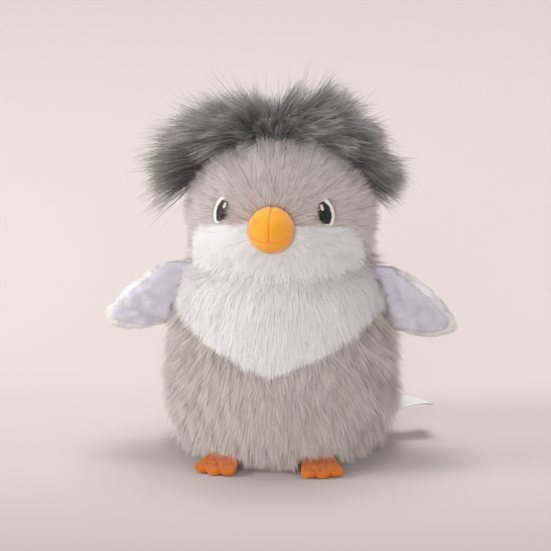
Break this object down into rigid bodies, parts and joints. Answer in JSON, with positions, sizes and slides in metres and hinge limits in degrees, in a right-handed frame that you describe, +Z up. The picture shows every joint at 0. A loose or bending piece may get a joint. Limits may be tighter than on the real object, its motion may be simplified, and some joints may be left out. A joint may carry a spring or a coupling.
{
  "type": "plush penguin",
  "caption": "Small standing stuffed penguin with a mop of long hair, an orange beak, felt feet and two flat padded wings that swing at their seams.",
  "frame": {"origin": "centre of the flat base, on the surface that the toy stands on", "axes": "+Z up; the penguin faces -Y; -X is its left side as seen from the front"},
  "size_m": [0.1746, 0.1269, 0.19],
  "materials": {
    "body_fur": "matte",
    "head_fur": "matte",
    "white_fur": "matte",
    "hair_fur": "matte",
    "fibre_fill": "matte",
    "base_cloth": "matte",
    "beak_fabric": "matte",
    "white_thread": "satin",
    "black_thread": "satin",
    "wing_front_plush": "matte",
    "wing_back_plush": "matte",
    "foot_felt": "matte",
    "label_satin": "satin",
    "pellets": "matte"
  },
  "bodies": {
    "torso": {"base_panel": "base_cloth", "pellet_pouch": "pellets", "body_stuffing": "fibre_fill", "chest_bib": "white_fur", "body_front_panel": "body_fur", "body_back_left_panel": "body_fur", "body_back_right_panel": "body_fur", "head_stuffing": "fibre_fill", "muzzle_panel": "white_fur", "forehead_panel": "head_fur", "head_back_left_panel": "head_fur", "head_back_right_panel": "head_fur", "beak_upper_left": "beak_fabric", "beak_upper_right": "beak_fabric", "beak_lower": "beak_fabric", "beak_stuffing": "fibre_fill", "hair_tuft": "hair_fur", "left_eye_white": "white_thread", "left_eye_black": "black_thread", "left_eye_glint": "white_thread", "right_eye_white": "white_thread", "right_eye_black": "black_thread", "right_eye_glint": "white_thread"},
    "left_wing": {"left_wing_front_panel": "wing_front_plush", "left_wing_back_panel": "wing_back_plush", "left_wing_wadding": "fibre_fill"},
    "right_wing": {"right_wing_front_panel": "wing_front_plush", "right_wing_back_panel": "wing_back_plush", "right_wing_wadding": "fibre_fill"},
    "left_foot_body": {"left_foot": "foot_felt"},
    "right_foot_body": {"right_foot": "foot_felt"},
    "label_body": {"care_label": "label_satin"}
  },
  "joints": [
    {"name": "left_wing_swing", "type": "hinge", "parent": "torso", "child": "left_wing", "pos_m": [-0.05321, 0, 0.08032], "axis": [0.264, 0, 0.9645], "range_deg": [-45, 60], "stiffness_Nm_per_rad": 0.004},
    {"name": "right_wing_swing", "type": "hinge", "parent": "torso", "child": "right_wing", "pos_m": [0.05321, 0, 0.08032], "axis": [0.264, 0, -0.9645], "range_deg": [-45, 60], "stiffness_Nm_per_rad": 0.004},
    {"name": "left_foot_droop", "type": "hinge", "parent": "torso", "child": "left_foot_body", "pos_m": [-0.02098, -0.03708, 0.00601], "axis": [0.9563, -0.2924, 0], "range_deg": [0, 40], "stiffness_Nm_per_rad": 0.003},
    {"name": "right_foot_droop", "type": "hinge", "parent": "torso", "child": "right_foot_body", "pos_m": [0.02098, -0.03708, 0.00601], "axis": [0.9659, 0.2588, 0], "range_deg": [0, 40], "stiffness_Nm_per_rad": 0.003},
    {"name": "care_label_fold", "type": "hinge", "parent": "torso", "child": "label_body", "pos_m": [0.05181, 0.01886, 0.0135], "axis": [0.342, -0.9397, 0], "range_deg": [-12, 30], "stiffness_Nm_per_rad": 0.0006}
  ]
}
